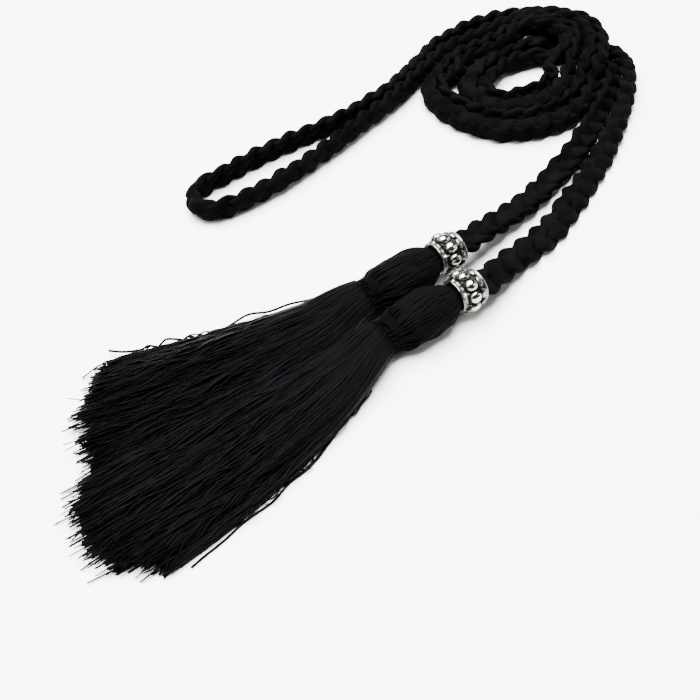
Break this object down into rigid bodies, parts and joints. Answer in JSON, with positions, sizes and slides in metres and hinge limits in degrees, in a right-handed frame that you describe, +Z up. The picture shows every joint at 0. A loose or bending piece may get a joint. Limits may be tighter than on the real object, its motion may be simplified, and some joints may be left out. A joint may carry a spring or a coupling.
{
  "type": "plaited tie belt with tassels",
  "caption": "Long plaited cord belt that ties round the waist, with a studded large-holed metal bead and a thread tassel at each end, lying folded and coiled.",
  "frame": {"origin": "on the table, under the middle of the belt's bounding box as it lies", "axes": "+Z up from the table, +Y from the tassel tips towards the coil, the way the picture looks; +X to the picture's right"},
  "size_m": [0.1857, 0.2595, 0.0147],
  "materials": {
    "plait": "matt black suede-like strips",
    "thread": "soft black thread with a slight sheen",
    "binding": "black waxed thread",
    "metal": "antique silver with dark recesses"
  },
  "bodies": {
    "root": {"bead_1": "metal", "bead_2": "metal", "tassel_head_1": "thread", "tassel_head_2": "thread", "neck_binding_1": "binding", "neck_binding_2": "binding", "plait_far_half": "plait", "plait_near_half": "plait", "tassel_skirt_1": "thread", "tassel_skirt_2": "thread"}
  },
  "joints": []
}
